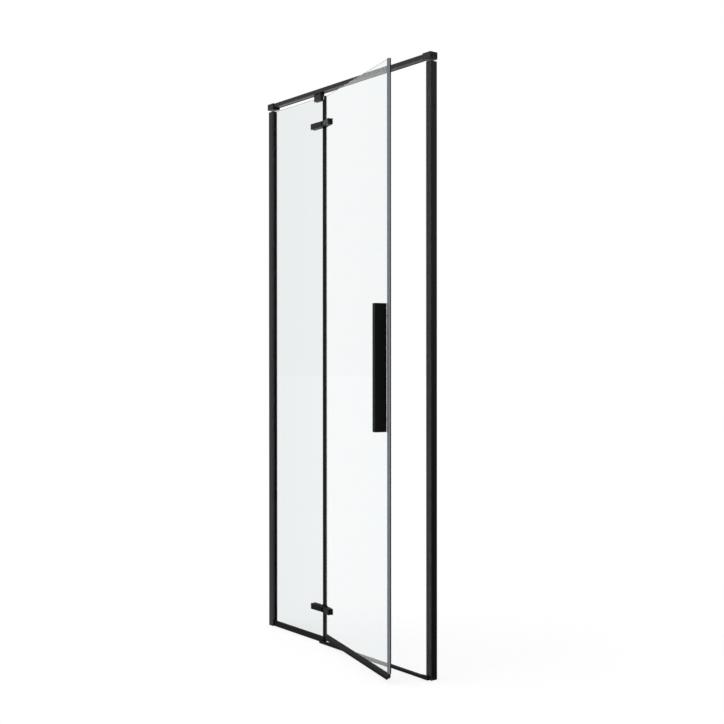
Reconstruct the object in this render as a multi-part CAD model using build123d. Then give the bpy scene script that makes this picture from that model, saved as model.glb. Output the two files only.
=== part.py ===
from build123d import *
import os

# Alcove shower door: a fixed glass panel beside the left wall carries a glass door on two pivot hinges.
# The origin is on the floor, at the middle of the width and of the glass thickness.
# X runs from the left wall to the right wall, Y from the room into the shower, and Z up.
# The door is built closed, along X, and then turned about the hinge pins to its rest position.

# Overall size and the glass
overall_width = 900.0
overall_height = 1950.0
glass_thickness = 6.0
glass_edge_chamfer = 0.5
door_rest_angle = 15.3

# Clearances
running_gap = 0.3
pin_play = 0.05
seat_play = 0.03

# How far a cutting shape runs past the face that it opens
overrun = 1.0

# Wall posts, each a cover profile over a channel that is screwed to the wall
post_width = 25.0
post_depth = 24.0
post_wall = 1.8
post_corner = 1.2
post_gap_below_block = 6.0
post_stand_off = 0.5
cap_thickness = 2.0
cap_chamfer = 0.5
cap_plug_width = 4.5
cap_plug_depth = 14.0
cap_plug_height = 8.0
wall_channel_wall = 1.5
wall_channel_base = 2.0
wall_channel_reach = 18.0
wall_hole_radius = 2.5
outer_wall_hole_spacing = 1650.0
inner_wall_hole_spacing = 550.0
side_screw_radius = 1.5
side_screw_length = 5.0
side_screw_head_radius = 3.3
side_screw_head_height = 1.6
side_screw_head_rounding = 0.8
side_screw_reach = 13.0
side_screw_spacing = 820.0

# Glazing pockets in the left post and in the bottom channel
glazing_rubber = 1.6
pocket_wall = 1.5
pocket_depth = 13.0
bottom_channel_height = 19.4
bottom_channel_wall = 1.4
bottom_channel_base = 2.4

# Top rail and the blocks that hold its ends to the walls
rail_height = 14.0
rail_depth = 25.0
rail_wall = 2.0
rail_corner = 0.8
rail_offset = -1.5
rail_slot_width = 5.0
rail_insert = 20.0
rail_fit = 0.2
block_length = 35.5
block_depth = 31.0
block_height = 22.0
block_roof = 2.0
block_corner = 1.2
block_hole_spacing = 16.0
block_hole_radius = 2.5
block_screw_radius = 2.0
block_screw_recess = 0.5
block_socket_radius = 1.0
block_socket_depth = 4.0

# Clamp between the rail and the fixed glass
clamp_width = 38.0
clamp_depth = 18.0
clamp_grip = 12.0
clamp_inset = 13.1
clamp_liner = 1.0
clamp_corner = 0.8
clamp_bolt_radius = 2.0
clamp_bolt_head_radius = 3.5
clamp_bolt_head_height = 3.0
clamp_bolt_past_nut = 1.5
clamp_nut_length = 20.0
clamp_nut_width = 14.0
clamp_nut_height = 4.0

# Hinge line and the seals on both sides of it
hinge_from_left_wall = 340.0
seal_wall = 1.6
seal_lip = 1.5
fixed_seal_grip = 7.2
door_glass_setback = 2.0
door_seal_reach = 10.0
seal_gap_at_hinge = 0.4

# Pivot hinges
hinge_height = 20.4
hinge_depth = 23.4
hinge_corner = 0.9
top_hinge_drop = 97.5
bottom_hinge_rise = 94.5
frame_leaf_length = 75.0
door_leaf_length = 48.0
leaf_relief = 0.5
hinge_pad_thickness = 1.0
hinge_pad_margin = 1.0
ear_height = 4.0
hinge_washer_thickness = 0.8
hinge_washer_radius = 8.0
pin_radius = 3.0
pin_recess = 0.2
bush_radius = 5.0
hinge_screw_radius = 2.5
hinge_screw_head_radius = 4.6
hinge_screw_head_height = 2.4
hinge_screw_tip_cover = 3.0
hinge_glass_hole_radius = 5.0
frame_screw_first = 30.0
frame_screw_second = 60.0
door_screw_first = 23.0
door_screw_second = 39.0
notch_clearance = 1.8

# Door glass, its free edge and its bottom edge
door_below_fixed_glass = 3.0
door_glass_bottom = 24.0
door_end_gap = 4.0
edge_seal_wall = 1.5
edge_seal_head = 4.6
edge_seal_grip = 7.0
edge_magnet_depth = 3.6
edge_magnet_width = 3.7
strike_height = 3.4
strike_width = 8.0
strike_neck_width = 5.0
strike_foot_width = 8.0
strike_foot_height = 1.5
strike_groove_wall = 1.5
strike_magnet_width = 4.4
strike_magnet_depth = 1.6
door_profile_wall = 1.5
door_profile_height = 12.0
door_profile_base = 2.0
drip_body_height = 2.6
drip_tip_height = 14.0
drip_spread = 7.2
drip_fin_thickness = 1.5
drip_root_gap = 0.8
drip_root_width = 2.2
drip_setback = 8.0
drip_end_setback = 4.4

# Threshold between the fixed panel and the right post
threshold_front = 19.4
threshold_back = 6.0
threshold_height = 8.0
threshold_back_height = 2.5
threshold_corner = 1.5
threshold_overlap = 10.0
threshold_cap_length = 28.0
threshold_cap_past_post = 15.0
threshold_cap_height = 12.5
threshold_cap_proud = 0.6
threshold_cap_corner = 0.6

# Bar handle on the room side of the door
handle_length = 396.0
handle_centre_height = 971.0
handle_width = 20.0
handle_projection = 38.5
handle_wall = 3.0
handle_corner = 1.0
handle_pad_thickness = 0.5
handle_edge_gap = 5.4
handle_screw_spacing = 320.0
handle_screw_radius = 2.5
handle_screw_head_radius = 4.5
handle_screw_head_height = 2.0
handle_screw_head_rounding = 1.0
handle_glass_hole_radius = 5.0
ferrule_flange_radius = 7.0
ferrule_flange_thickness = 0.6

# Planes and lines that several pieces share
half_width = overall_width / 2
half_glass = glass_thickness / 2
hinge_x = -half_width + hinge_from_left_wall
rail_top = overall_height - block_roof
rail_bottom = rail_top - rail_height
block_bottom = overall_height - block_height
post_height = block_bottom - post_gap_below_block
profile_height = post_height - cap_thickness
fixed_glass_top = profile_height
door_glass_top = fixed_glass_top - door_below_fixed_glass
seal_half = half_glass + seal_wall
fixed_seal_end = hinge_x - seal_half - running_gap
fixed_glass_right = fixed_seal_end - seal_lip
fixed_seal_start = fixed_glass_right - fixed_seal_grip
fixed_glass_bottom = bottom_channel_base + glazing_rubber
pocket_half = half_glass + glazing_rubber
pocket_floor = post_width - pocket_depth
fixed_glass_left = -half_width + pocket_floor + glazing_rubber
clamp_right = fixed_glass_right - clamp_inset
clamp_left = clamp_right - clamp_width
clamp_bottom = fixed_glass_top - clamp_grip
half_hinge = hinge_height / 2
hinge_radius = hinge_depth / 2
plate_inner = half_glass + hinge_pad_thickness
leaf_start = hinge_radius + leaf_relief
knuckle_half = half_hinge - ear_height - hinge_washer_thickness - running_gap
notch_half_height = half_hinge + seal_gap_at_hinge
notch_reach = hinge_radius + notch_clearance
top_hinge_z = fixed_glass_top - top_hinge_drop
bottom_hinge_z = door_glass_bottom + bottom_hinge_rise
door_end = half_width - post_width - door_end_gap - hinge_x
door_glass_end = door_end - edge_seal_head
edge_seal_start = door_glass_end - edge_seal_grip
edge_seal_half = half_glass + edge_seal_wall
handle_outer = edge_seal_start - handle_edge_gap
handle_inner = handle_outer - handle_width
handle_foot = half_glass + handle_pad_thickness
handle_front = handle_foot + handle_projection
handle_screw_s = (handle_outer - handle_wall + handle_inner) / 2
post_face = half_width - post_width
clamp_middle = (clamp_left + clamp_right) / 2
rail_front = rail_offset - rail_depth / 2
rail_back = rail_offset + rail_depth / 2
rail_slot_back = rail_back - rail_wall - running_gap
rail_slot_front = rail_slot_back - rail_slot_width
door_profile_bottom = door_glass_bottom - door_profile_base
door_profile_top = door_profile_bottom + door_profile_height
door_profile_half = half_glass + door_profile_wall
edge_seal_bottom = door_profile_top + running_gap
threshold_crest = -(pocket_half + bottom_channel_wall + running_gap)
threshold_cap_end = post_face + threshold_cap_past_post
threshold_cap_start = threshold_cap_end - threshold_cap_length
threshold_cap_back = -post_depth / 2 - running_gap


def area(x0, x1, y0, y1):
    """A rectangle between two X and two Y lines."""
    return Pos((x0 + x1) / 2, (y0 + y1) / 2) * Rectangle(abs(x1 - x0), abs(y1 - y0))


def box(x0, x1, y0, y1, z0, z1):
    """A block between pairs of planes."""
    middle = Pos((x0 + x1) / 2, (y0 + y1) / 2, (z0 + z1) / 2)
    return middle * Box(abs(x1 - x0), abs(y1 - y0), abs(z1 - z0))


def rounded(x0, x1, y0, y1, radius):
    """A rectangle with round corners."""
    sketch = area(x0, x1, y0, y1)
    return fillet(sketch.vertices(), radius)


def upright(section, z0, z1):
    """A section in X and Y, drawn out from one height to another."""
    return extrude(Plane.XY.offset(z0) * section, z1 - z0)


def lengthwise(section, x0, x1):
    """A section in Y and Z, drawn out along X."""
    return extrude(Plane.YZ.offset(x0) * section, x1 - x0)


def rod_z(radius, x, y, z0, z1):
    """A round bar along Z."""
    return Pos(x, y, (z0 + z1) / 2) * Cylinder(radius, abs(z1 - z0))


def rod_y(radius, x, z, y0, y1):
    """A round bar along Y."""
    return Pos(x, (y0 + y1) / 2, z) * Rot(90, 0, 0) * Cylinder(radius, abs(y1 - y0))


def rod_x(radius, y, z, x0, x1):
    """A round bar along X."""
    return Pos((x0 + x1) / 2, y, z) * Rot(0, 90, 0) * Cylinder(radius, abs(x1 - x0))


def countersunk(x, z, y_head, y_tip, radius, head_radius, head_height):
    """A flat-headed screw along Y, with its head flush at y_head."""
    towards = 1 if y_tip > y_head else -1
    turn = Rot(-90, 0, 0) if towards > 0 else Rot(90, 0, 0)
    head = Cone(head_radius, radius, head_height)
    head = Pos(x, y_head + towards * head_height / 2, z) * turn * head
    return head + rod_y(radius, x, z, y_head, y_tip)


def at_wall(side, distance):
    """X at a distance from the left wall, side -1, or the right wall, side 1."""
    return side * (half_width - distance)


def wall_area(side, near, far, y0, y1):
    """A rectangle between two distances from a wall."""
    return area(at_wall(side, near), at_wall(side, far), y0, y1)


def mirrored_pair(side, near, far, y0, y1):
    """Two rectangles, one each side of the glass plane."""
    return wall_area(side, near, far, y0, y1) + wall_area(side, near, far, -y1, -y0)


def on_door(shape):
    """Turn a piece of the closed door outwards to its rest position."""
    return shape.rotate(Axis((hinge_x, 0, 0), (0, 0, 1)), -door_rest_angle)


def door_x(distance):
    """X on the closed door at a distance from the hinge line."""
    return hinge_x + distance


def hinge_heights():
    """The two hinges by name, with the height of each one's centre."""
    return {"top": top_hinge_z, "bottom": bottom_hinge_z}


def side_screw_heights():
    """Heights of the three screws that fix a post to its channel."""
    middle = profile_height / 2
    return [middle - side_screw_spacing, middle, middle + side_screw_spacing]


def wall_hole_heights():
    """Heights of the four screw holes in a wall channel."""
    middle = profile_height / 2
    spacings = (outer_wall_hole_spacing, inner_wall_hole_spacing)
    return [middle + sign * spacing / 2 for spacing in spacings for sign in (-1, 1)]


def wall_channel(side):
    """The U channel that is screwed to the wall inside a post."""
    outer = post_depth / 2 - post_wall - running_gap
    inner = outer - wall_channel_wall
    section = wall_area(side, 0, wall_channel_base, -outer, outer)
    section += mirrored_pair(side, 0, wall_channel_reach, inner, outer)
    channel = upright(section, 0, profile_height)
    for height in wall_hole_heights():
        channel -= rod_x(wall_hole_radius, 0, height, at_wall(side, -overrun),
                         at_wall(side, wall_channel_base + overrun))
    for height in side_screw_heights():
        channel -= side_screw_bore(side, height)
    return channel


def side_screw_bore(side, height):
    """The hole for one side screw, through a post's leg and the channel's leg."""
    x = at_wall(side, side_screw_reach)
    surface = post_depth / 2
    tip = surface - side_screw_length - overrun
    return rod_y(side_screw_radius + seat_play, x, height, tip, surface + overrun)


def post_shell(side):
    """The outer section of a post: two legs and a front web, with its two free corners rounded."""
    half = post_depth / 2
    shell = wall_area(side, post_stand_off, post_width, -half, half)
    corners = shell.vertices().sort_by(Axis.X)
    corners = corners[2:] if side < 0 else corners[:2]
    shell = fillet(corners, post_corner)
    return shell - wall_area(side, 0, post_width - post_wall, post_wall - half, half - post_wall)


def left_post():
    """The post on the hinge side, with a pocket that holds the fixed glass."""
    section = post_shell(-1)
    section += mirrored_pair(-1, pocket_floor - pocket_wall, post_width - post_wall,
                             pocket_half, pocket_half + pocket_wall)
    section += wall_area(-1, pocket_floor - pocket_wall, pocket_floor, -pocket_half, pocket_half)
    section -= wall_area(-1, pocket_floor, post_width + overrun, -pocket_half, pocket_half)
    post = upright(section, 0, profile_height)
    for height in side_screw_heights():
        post -= side_screw_bore(-1, height)
    return post


def right_post():
    """The post on the closing side, with a T-shaped groove in its web for the strike strip."""
    web = post_width - post_wall
    neck = strike_neck_width / 2
    foot = strike_foot_width / 2 + seat_play
    groove_floor = web - strike_foot_height - seat_play
    section = post_shell(1)
    section += wall_area(1, groove_floor - strike_groove_wall, web,
                         -foot - strike_groove_wall, foot + strike_groove_wall)
    section -= wall_area(1, groove_floor, web, -foot, foot)
    section -= wall_area(1, groove_floor, post_width + overrun, -neck, neck)
    post = upright(section, 0, profile_height)
    for height in side_screw_heights():
        post -= side_screw_bore(1, height)
    return post


def post_cap(side):
    """The flat cap on a post, with a plug that drops inside it."""
    half = post_depth / 2
    plate = wall_area(side, post_stand_off, post_width, -half, half)
    corners = plate.vertices().sort_by(Axis.X)
    plate = fillet(corners[2:] if side < 0 else corners[:2], post_corner)
    cap = upright(plate, profile_height, post_height)
    top_rim = cap.faces().sort_by(Axis.Z)[-1].edges()
    cap = chamfer(top_rim, cap_chamfer)
    near = wall_channel_base + running_gap
    plug = wall_area(side, near, near + cap_plug_width, -cap_plug_depth / 2, cap_plug_depth / 2)
    return cap + upright(plug, profile_height - cap_plug_height, profile_height)


def side_screws():
    """Six pan-head screws on the shower side, three for each post."""
    screws = []
    surface = post_depth / 2
    for side in (-1, 1):
        x = at_wall(side, side_screw_reach)
        for height in side_screw_heights():
            shank = rod_y(side_screw_radius, x, height, surface - side_screw_length, surface)
            head = rod_y(side_screw_head_radius, x, height, surface, surface + side_screw_head_height)
            head = fillet(head.edges().sort_by(Axis.Y)[-1], side_screw_head_rounding)
            screws.append(shank + head)
    return Compound(screws)


def left_post_gasket():
    """The U-shaped rubber round the glass edge in the left post."""
    section = wall_area(-1, pocket_floor, post_width, -pocket_half, pocket_half)
    section -= wall_area(-1, pocket_floor + glazing_rubber, post_width + overrun, -half_glass, half_glass)
    return upright(section, 0, profile_height)


def glass_hole(radius, x, height):
    """A cutter for a hole right through a pane."""
    return rod_y(radius, x, height, -glass_thickness, glass_thickness)


def pane(x0, x1, z0, z1):
    """A sheet of glass with small chamfers on its edges."""
    sheet = box(x0, x1, -half_glass, half_glass, z0, z1)
    rims = sheet.faces().sort_by(Axis.Y)[0].edges() + sheet.faces().sort_by(Axis.Y)[-1].edges()
    return chamfer(rims, glass_edge_chamfer)


def hinge_notch(x0, x1, height):
    """The cut-out in a glass edge where a hinge barrel turns."""
    return box(x0, x1, -glass_thickness, glass_thickness,
               height - notch_half_height, height + notch_half_height)


def fixed_glass():
    """The pane between the left wall post and the hinge line."""
    glass = pane(fixed_glass_left, fixed_glass_right, fixed_glass_bottom, fixed_glass_top)
    for height in hinge_heights().values():
        glass -= hinge_notch(hinge_x - notch_reach, hinge_x, height)
        for distance in (frame_screw_first, frame_screw_second):
            glass -= glass_hole(hinge_glass_hole_radius, hinge_x - distance, height)
    return glass


def bottom_channel():
    """The channel on the floor that holds the fixed glass."""
    half = pocket_half + bottom_channel_wall
    section = area(-half, half, 0, bottom_channel_height)
    section -= area(-pocket_half, pocket_half, bottom_channel_base, bottom_channel_height + overrun)
    return lengthwise(section, -half_width + post_width, fixed_seal_end)


def bottom_gasket():
    """The U-shaped rubber round the glass in the bottom channel."""
    section = area(-pocket_half, pocket_half, bottom_channel_base, bottom_channel_height)
    section -= area(-half_glass, half_glass, fixed_glass_bottom, bottom_channel_height + overrun)
    return lengthwise(section, -half_width + post_width, fixed_glass_right)


def top_rail():
    """The hollow rail between the end blocks, with an open slot along its underside."""
    section = rounded(rail_front, rail_back, rail_bottom, rail_top, rail_corner)
    floor = rail_bottom + rail_wall
    section -= area(rail_front + rail_wall, rail_back - rail_wall, floor, rail_top - rail_wall)
    low = rail_bottom - overrun
    high = floor + overrun
    section -= area(rail_slot_front, rail_slot_back, low, high)
    end = half_width - block_length + rail_insert
    rail = lengthwise(section, -end, end)
    return rail - rod_z(clamp_bolt_radius + seat_play, clamp_middle, 0, low, high)


def end_block(side):
    """The cast block that is screwed to a wall and takes one end of the rail."""
    front = rail_offset - block_depth / 2
    back = rail_offset + block_depth / 2
    block = box(at_wall(side, 0), at_wall(side, block_length), front, back, block_bottom, overall_height)
    block = fillet(block.edges().filter_by(Axis.X), block_corner)
    pocket_start = block_length - rail_insert - running_gap
    block -= box(at_wall(side, pocket_start), at_wall(side, block_length + overrun),
                 rail_front - rail_fit, rail_back + rail_fit, rail_bottom - rail_fit, rail_top + rail_fit)
    height = (block_bottom + overall_height) / 2
    for sign in (-1, 1):
        y = rail_offset + sign * block_hole_spacing / 2
        block -= rod_x(block_hole_radius, y, height, at_wall(side, -overrun), at_wall(side, block_length))
    x = at_wall(side, block_length - rail_insert / 2)
    low = block_bottom - overrun
    return block - rod_z(block_screw_radius + seat_play, x, rail_offset, low, rail_bottom)


def block_screws():
    """Two set screws that press up against the rail's underside, one in each end block."""
    screws = []
    for side in (-1, 1):
        x = at_wall(side, block_length - rail_insert / 2)
        low = block_bottom + block_screw_recess
        screw = rod_z(block_screw_radius, x, rail_offset, low, rail_bottom)
        socket = rod_z(block_socket_radius, x, rail_offset, low, low + block_socket_depth)
        screws.append(screw - socket)
    return Compound(screws)


def clamp_body():
    """The block under the rail whose slot grips the top edge of the fixed glass."""
    half = clamp_depth / 2
    body = box(clamp_left, clamp_right, -half, half, clamp_bottom, rail_bottom)
    body = fillet(body.edges().filter_by(Axis.Z), clamp_corner)
    slot_half = half_glass + clamp_liner
    slot_top = fixed_glass_top + clamp_liner
    body -= box(clamp_left - overrun, clamp_right + overrun, -slot_half, slot_half,
                clamp_bottom - overrun, slot_top)
    recess = clamp_bolt_head_height + running_gap
    head_radius = clamp_bolt_head_radius + seat_play
    body -= rod_z(head_radius, clamp_middle, 0, slot_top - overrun, slot_top + recess)
    return body - rod_z(clamp_bolt_radius + seat_play, clamp_middle, 0, slot_top, rail_bottom + overrun)


def clamp_liner_piece():
    """The soft liner between the clamp and the glass."""
    outer = half_glass + clamp_liner
    liner = box(clamp_left, clamp_right, -outer, outer, clamp_bottom, fixed_glass_top + clamp_liner)
    return liner - box(clamp_left - overrun, clamp_right + overrun, -half_glass, half_glass,
                       clamp_bottom - overrun, fixed_glass_top)


def clamp_bolt():
    """The bolt from the clamp's slot up into the rail."""
    head_top = fixed_glass_top + clamp_liner + clamp_bolt_head_height + running_gap
    head = rod_z(clamp_bolt_head_radius, clamp_middle, 0, head_top - clamp_bolt_head_height, head_top)
    tip = rail_bottom + rail_wall + clamp_nut_height + clamp_bolt_past_nut
    return head + rod_z(clamp_bolt_radius, clamp_middle, 0, head_top, tip)


def clamp_nut():
    """The nut plate that slides in the hollow of the rail and takes the clamp's bolt."""
    floor = rail_bottom + rail_wall
    top = floor + clamp_nut_height
    back = rail_slot_front - running_gap
    plate = box(clamp_middle - clamp_nut_length / 2, clamp_middle + clamp_nut_length / 2,
                back - clamp_nut_width, back, floor, top)
    return plate - rod_z(clamp_bolt_radius + seat_play, clamp_middle, 0, floor - overrun, top + overrun)


def between_hinges(section, z0, z1):
    """A strip along the hinge line, in three lengths that stop short of the two hinges."""
    stops = [z0]
    for height in (bottom_hinge_z, top_hinge_z):
        stops += [height - notch_half_height, height + notch_half_height]
    stops.append(z1)
    return [upright(section, stops[i], stops[i + 1]) for i in (0, 2, 4)]


def fixed_edge_seal():
    """The channel strip on the hinge-side edge of the fixed glass."""
    section = area(fixed_seal_start, fixed_seal_end, -seal_half, seal_half)
    section -= area(fixed_seal_start - overrun, fixed_glass_right, -half_glass, half_glass)
    return Compound(between_hinges(section, bottom_channel_height, clamp_bottom))


def door_hinge_seal():
    """The strip on the door's hinge-side edge, with a round nose centred on the hinge line."""
    end = door_x(door_seal_reach)
    section = area(hinge_x, end, -seal_half, seal_half)
    section += Pos(hinge_x, 0) * Circle(seal_half)
    section -= area(door_x(door_glass_setback), end + overrun, -half_glass, half_glass)
    lengths = between_hinges(section, door_profile_top, fixed_glass_top - running_gap)
    return Compound([on_door(length) for length in lengths])


def leaf_plate(direction, length, side, height):
    """One clamping plate of a hinge leaf: direction -1 is the frame side, and side -1 the room side."""
    x0 = hinge_x + direction * leaf_start
    x1 = hinge_x + direction * length
    plate = box(x0, x1, side * plate_inner, side * hinge_radius, height - half_hinge, height + half_hinge)
    outer_face = plate.faces().sort_by(Axis.Y)[0 if side < 0 else -1]
    rim = outer_face.edges().sort_by(Axis.X)
    rim = rim[:-1] if direction < 0 else rim[1:]
    plate = fillet(rim, hinge_corner)
    for distance in screw_distances(direction):
        plate -= leaf_screw(direction, distance, height, seat_play)
    return plate


def barrel(direction, z0, z1):
    """A round knuckle on the hinge line, with the web that joins it to its room-side plate."""
    web = box(hinge_x, hinge_x + direction * leaf_start, -hinge_radius, -plate_inner, z0, z1)
    return web + rod_z(hinge_radius, hinge_x, 0, z0, z1)


def screw_distances(direction):
    """Distances of a leaf's two screws from the hinge line."""
    if direction < 0:
        return frame_screw_first, frame_screw_second
    return door_screw_first, door_screw_second


def leaf_screw(direction, distance, height, play):
    """One screw of a hinge leaf, driven from the shower side; play widens it into its hole."""
    x = hinge_x + direction * distance
    tip = -(hinge_radius - hinge_screw_tip_cover) - play
    return countersunk(x, height, hinge_radius, tip, hinge_screw_radius + play,
                       hinge_screw_head_radius + play, hinge_screw_head_height)


def frame_leaf_front(height):
    """The room-side plate of the fixed leaf, with the two ears that hold the pin."""
    plate = leaf_plate(-1, frame_leaf_length, -1, height)
    for sign in (-1, 1):
        outer = height + sign * half_hinge
        plate += barrel(-1, outer - sign * ear_height, outer)
    return plate - rod_z(pin_radius + seat_play, hinge_x, 0, height - hinge_height, height + hinge_height)


def door_leaf_front(height):
    """The room-side plate of the door leaf, with the middle knuckle that turns on the pin."""
    plate = leaf_plate(1, door_leaf_length, -1, height)
    plate += barrel(1, height - knuckle_half, height + knuckle_half)
    plate -= rod_z(bush_radius + seat_play, hinge_x, 0, height - hinge_height, height + hinge_height)
    return on_door(plate)


def hinge_pads(direction, length, height):
    """The two soft pads between a leaf's plates and the glass."""
    near = hinge_x + direction * (notch_reach + hinge_pad_margin)
    far = hinge_x + direction * (length - hinge_pad_margin)
    half = half_hinge - hinge_pad_margin
    pads = []
    for side in (-1, 1):
        pad = box(near, far, side * half_glass, side * plate_inner, height - half, height + half)
        for distance in screw_distances(direction):
            x = hinge_x + direction * distance
            pad -= rod_y(hinge_glass_hole_radius, x, height, -hinge_radius, hinge_radius)
        pads.append(pad)
    return pads


def leaf_screws(direction, height):
    """The two screws of a leaf."""
    return [leaf_screw(direction, distance, height, 0) for distance in screw_distances(direction)]


def hinge_pin(height):
    """The pivot pin, held in the two ears."""
    half = half_hinge - pin_recess
    return rod_z(pin_radius, hinge_x, 0, height - half, height + half)


def hinge_bush(height):
    """The plastic bush in the door leaf's knuckle."""
    bush = rod_z(bush_radius, hinge_x, 0, height - knuckle_half, height + knuckle_half)
    bush -= rod_z(pin_radius + pin_play, hinge_x, 0, height - hinge_height, height + hinge_height)
    return on_door(bush)


def hinge_washers(height):
    """The two thrust washers between the knuckle and the ears."""
    washers = []
    for sign in (-1, 1):
        ear_face = height + sign * (half_hinge - ear_height)
        inner_face = ear_face - sign * hinge_washer_thickness
        washer = rod_z(hinge_washer_radius, hinge_x, 0, inner_face, ear_face)
        washer -= rod_z(pin_radius + pin_play, hinge_x, 0, height - hinge_height, height + hinge_height)
        washers.append(washer)
    return Compound(washers)


def door_glass():
    """The door's pane, with notches for the hinge barrels and holes for the screws."""
    glass = pane(door_x(door_glass_setback), door_x(door_glass_end), door_glass_bottom, door_glass_top)
    for height in hinge_heights().values():
        glass -= hinge_notch(hinge_x, door_x(notch_reach), height)
        for distance in screw_distances(1):
            glass -= glass_hole(hinge_glass_hole_radius, door_x(distance), height)
    for height in handle_screw_heights():
        glass -= glass_hole(handle_glass_hole_radius, door_x(handle_screw_s), height)
    return on_door(glass)


def edge_magnet_area(past):
    """The corner of the free-edge strip that the magnet fills; past carries it beyond the strip."""
    return area(door_x(door_end - edge_magnet_depth), door_x(door_end + past),
                edge_seal_half - edge_magnet_width, edge_seal_half + past)


def edge_seal():
    """The grey strip on the door's free edge."""
    section = area(door_x(edge_seal_start), door_x(door_end), -edge_seal_half, edge_seal_half)
    section -= area(door_x(edge_seal_start - overrun), door_x(door_glass_end), -half_glass, half_glass)
    section -= edge_magnet_area(overrun)
    return on_door(upright(section, edge_seal_bottom, door_glass_top))


def edge_magnet():
    """The black magnetic strip in the free-edge strip."""
    return on_door(upright(edge_magnet_area(0), edge_seal_bottom, door_glass_top))


def strike_holder():
    """The strip that the door's edge closes on, held in the right post's slot."""
    face = post_width
    inside = post_width - post_wall
    section = wall_area(1, face, face + strike_height, -strike_width / 2, strike_width / 2)
    section += wall_area(1, inside, face, -strike_neck_width / 2, strike_neck_width / 2)
    foot = strike_foot_width / 2
    section += wall_area(1, inside - strike_foot_height, inside, -foot, foot)
    section -= strike_magnet_area(overrun)
    return upright(section, threshold_height + running_gap, door_glass_top)


def strike_magnet_area(past):
    """The groove for the magnet in the strike strip; past carries it beyond the strip's face."""
    face = post_width + strike_height
    half = strike_magnet_width / 2
    return wall_area(1, face - strike_magnet_depth, face + past, -half, half)


def strike_magnet():
    """The magnetic strip in the strike strip."""
    return upright(strike_magnet_area(0), threshold_height + running_gap, door_glass_top)


def door_profile():
    """The channel under the bottom edge of the door glass."""
    section = area(-door_profile_half, door_profile_half, door_profile_bottom, door_profile_top)
    section -= area(-half_glass, half_glass, door_glass_bottom, door_profile_top + overrun)
    return on_door(lengthwise(section, door_x(0), door_x(door_glass_end)))


def drip_seal():
    """The soft strip under the door channel, with two fins that spread downwards."""
    low = door_profile_bottom - drip_body_height
    block = area(-door_profile_half, door_profile_half, low, door_profile_bottom)
    end = door_x(door_glass_end - drip_end_setback)
    body = lengthwise(block, door_x(0), end)
    for sign in (-1, 1):
        root = sign * drip_root_gap / 2
        tip = sign * drip_spread
        outline = Polyline((root, low), (root + sign * drip_root_width, low), (tip, drip_tip_height),
                           (tip - sign * drip_fin_thickness, drip_tip_height), close=True)
        body += lengthwise(make_face(outline), door_x(drip_setback), end)
    return on_door(body)


def threshold_section():
    """The sloping section of the threshold, in Y and Z."""
    front = -threshold_front
    outline = Polyline((front, 0), (front, threshold_height - threshold_corner),
                       (front + threshold_corner, threshold_height), (threshold_crest, threshold_height),
                       (threshold_back, threshold_back_height), (threshold_back, 0), close=True)
    return make_face(outline)


def threshold():
    """The low bar under the door, which laps in front of the fixed panel's channel and the right post."""
    start = fixed_seal_end - threshold_overlap
    bar = lengthwise(threshold_section(), start, post_face)
    bar -= box(start, fixed_seal_end + running_gap, threshold_crest, threshold_back, 0, threshold_height)
    return bar - box(threshold_cap_start, post_face, -threshold_front, threshold_cap_back,
                     0, threshold_height)


def threshold_cap():
    """The small end cap of the threshold, in front of the right post."""
    front = -threshold_front - threshold_cap_proud
    cap = box(threshold_cap_start, threshold_cap_end, front, threshold_cap_back, 0, threshold_cap_height)
    rims = cap.faces().sort_by(Axis.Z)[-1].edges()
    rims += cap.faces().sort_by(Axis.Y)[0].edges().filter_by(Axis.Z)
    return fillet(rims, threshold_cap_corner)


def handle_screw_heights():
    """Heights of the handle's two screws."""
    return [handle_centre_height + sign * handle_screw_spacing / 2 for sign in (-1, 1)]


def handle():
    """The C-shaped bar: a foot on the glass, a deep web and a front face to hold."""
    section = area(door_x(handle_inner), door_x(handle_outer), -handle_front, -handle_foot)
    section = fillet(section.vertices().sort_by(Axis.Y)[:2], handle_corner)
    section -= area(door_x(handle_inner), door_x(handle_outer - handle_wall),
                    -handle_front + handle_wall, -handle_foot - handle_wall)
    low = handle_centre_height - handle_length / 2
    bar = upright(section, low, low + handle_length)
    for height in handle_screw_heights():
        x = door_x(handle_screw_s)
        bar -= rod_y(handle_screw_radius + seat_play, x, height, -handle_foot - handle_wall - overrun, 0)
    return on_door(bar)


def handle_pad():
    """The thin pad between the handle's foot and the glass."""
    low = handle_centre_height - handle_length / 2
    pad = box(door_x(handle_inner), door_x(handle_outer), -handle_foot, -half_glass,
              low, low + handle_length)
    for height in handle_screw_heights():
        pad -= rod_y(handle_glass_hole_radius, door_x(handle_screw_s), height, -handle_front, 0)
    return on_door(pad)


def handle_ferrules():
    """The two plastic sleeves that keep the handle's screws off the glass."""
    sleeves = []
    x = door_x(handle_screw_s)
    flange_face = half_glass + ferrule_flange_thickness
    for height in handle_screw_heights():
        sleeve = rod_y(handle_glass_hole_radius - seat_play, x, height, -half_glass, flange_face)
        sleeve += rod_y(ferrule_flange_radius, x, height, half_glass, flange_face)
        sleeve -= rod_y(handle_screw_radius + seat_play, x, height, -handle_front, handle_front)
        sleeves.append(on_door(sleeve))
    return Compound(sleeves)


def handle_screws():
    """The two low-headed screws that hold the handle from the shower side."""
    screws = []
    x = door_x(handle_screw_s)
    seat = half_glass + ferrule_flange_thickness
    for height in handle_screw_heights():
        screw = rod_y(handle_screw_radius, x, height, -handle_foot - handle_wall, seat)
        head = rod_y(handle_screw_head_radius, x, height, seat, seat + handle_screw_head_height)
        head = fillet(head.edges().sort_by(Axis.Y)[-1], handle_screw_head_rounding)
        screws.append(on_door(screw + head))
    return Compound(screws)


def save(name, shape):
    """Write one piece to its own file."""
    export_step(shape, f"parts/{name}.step")


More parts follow.
